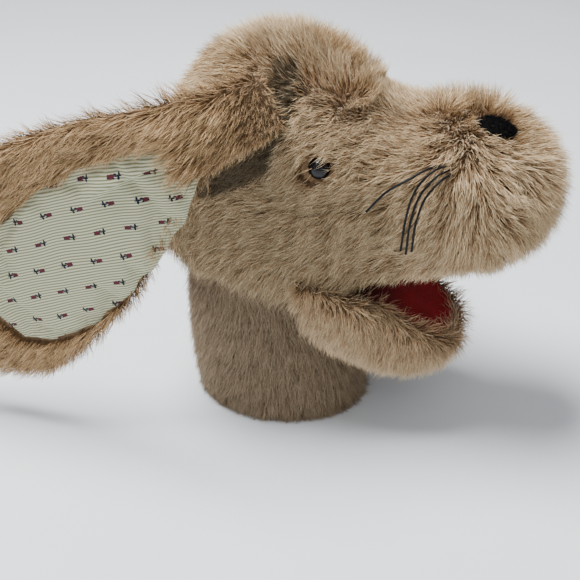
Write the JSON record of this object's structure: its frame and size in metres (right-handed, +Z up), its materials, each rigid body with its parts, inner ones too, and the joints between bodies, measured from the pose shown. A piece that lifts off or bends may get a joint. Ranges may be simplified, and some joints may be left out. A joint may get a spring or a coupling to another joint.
{
  "type": "hand puppet",
  "caption": "Plush animal-head hand puppet with a short fur sleeve, felt-lined mouth, bead eyes, oval nose, thread whiskers and two long floppy cotton-lined ears.",
  "frame": {"origin": "middle of the sleeve's hem, on the surface that the puppet stands on", "axes": "+X towards the muzzle, +Y to the puppet's left, +Z up"},
  "size_m": [0.3358, 0.2443, 0.213],
  "materials": {
    "plush_head": "long pile, matt",
    "plush_jaw": "long pile, matt",
    "plush_ear": "long pile, matt",
    "plush_sleeve": "pile combed down, matt",
    "printed_cotton": "woven, satin stripe, small sprigs",
    "red_felt": "felt, matt",
    "stiff_board": "uncoated card",
    "wadding": "loose polyester fibre",
    "lining_cloth": "woven backing cloth",
    "eye_bead": "polished",
    "washer_plastic": "moulded",
    "nose_flock": "flocked, matt",
    "whisker_thread": "waxed thread"
  },
  "bodies": {
    "sleeve": {"sleeve_right_panel": "plush_sleeve", "sleeve_left_panel": "plush_sleeve", "sleeve_lining": "lining_cloth", "sleeve_hem_band": "lining_cloth"},
    "head": {"head_right_panel": "plush_head", "head_left_panel": "plush_head", "head_gusset": "plush_head", "crown_stuffing": "wadding", "muzzle_stuffing": "wadding", "finger_pocket_top": "lining_cloth", "finger_pocket_edge": "lining_cloth", "finger_pocket_bottom": "lining_cloth", "palate_felt": "red_felt", "palate_board": "stiff_board", "right_eye": "eye_bead", "left_eye": "eye_bead", "right_eye_washer": "washer_plastic", "left_eye_washer": "washer_plastic", "nose": "nose_flock", "nose_washer": "washer_plastic", "right_whisker_1": "whisker_thread", "right_whisker_2": "whisker_thread", "right_whisker_3": "whisker_thread", "right_whisker_4": "whisker_thread", "left_whisker_1": "whisker_thread", "left_whisker_2": "whisker_thread", "left_whisker_3": "whisker_thread", "left_whisker_4": "whisker_thread"},
    "jaw": {"jaw_skin": "plush_jaw", "jaw_felt": "red_felt", "jaw_board": "stiff_board", "chin_stuffing": "wadding", "thumb_pocket": "lining_cloth"},
    "right_ear": {"right_ear_back": "plush_ear", "right_ear_lining": "printed_cotton"},
    "left_ear": {"left_ear_back": "plush_ear", "left_ear_lining": "printed_cotton"}
  },
  "joints": [
    {"name": "head_nod", "type": "hinge", "parent": "sleeve", "child": "head", "pos_m": [-0.01, 0, 0.095], "axis": [0, 1, 0], "range_deg": [-14, 8]},
    {"name": "jaw_open", "type": "hinge", "parent": "head", "child": "jaw", "pos_m": [0.04, 0, 0.092], "axis": [0, 1, 0], "range_deg": [-34, 8]},
    {"name": "right_ear_swing", "type": "hinge", "parent": "head", "child": "right_ear", "pos_m": [0.009, -0.0505, 0.192], "axis": [0, 1, 0], "range_deg": [-15, 50]},
    {"name": "left_ear_swing", "type": "hinge", "parent": "head", "child": "left_ear", "pos_m": [0.009, 0.0505, 0.192], "axis": [0, 1, 0], "range_deg": [0, 75]}
  ]
}
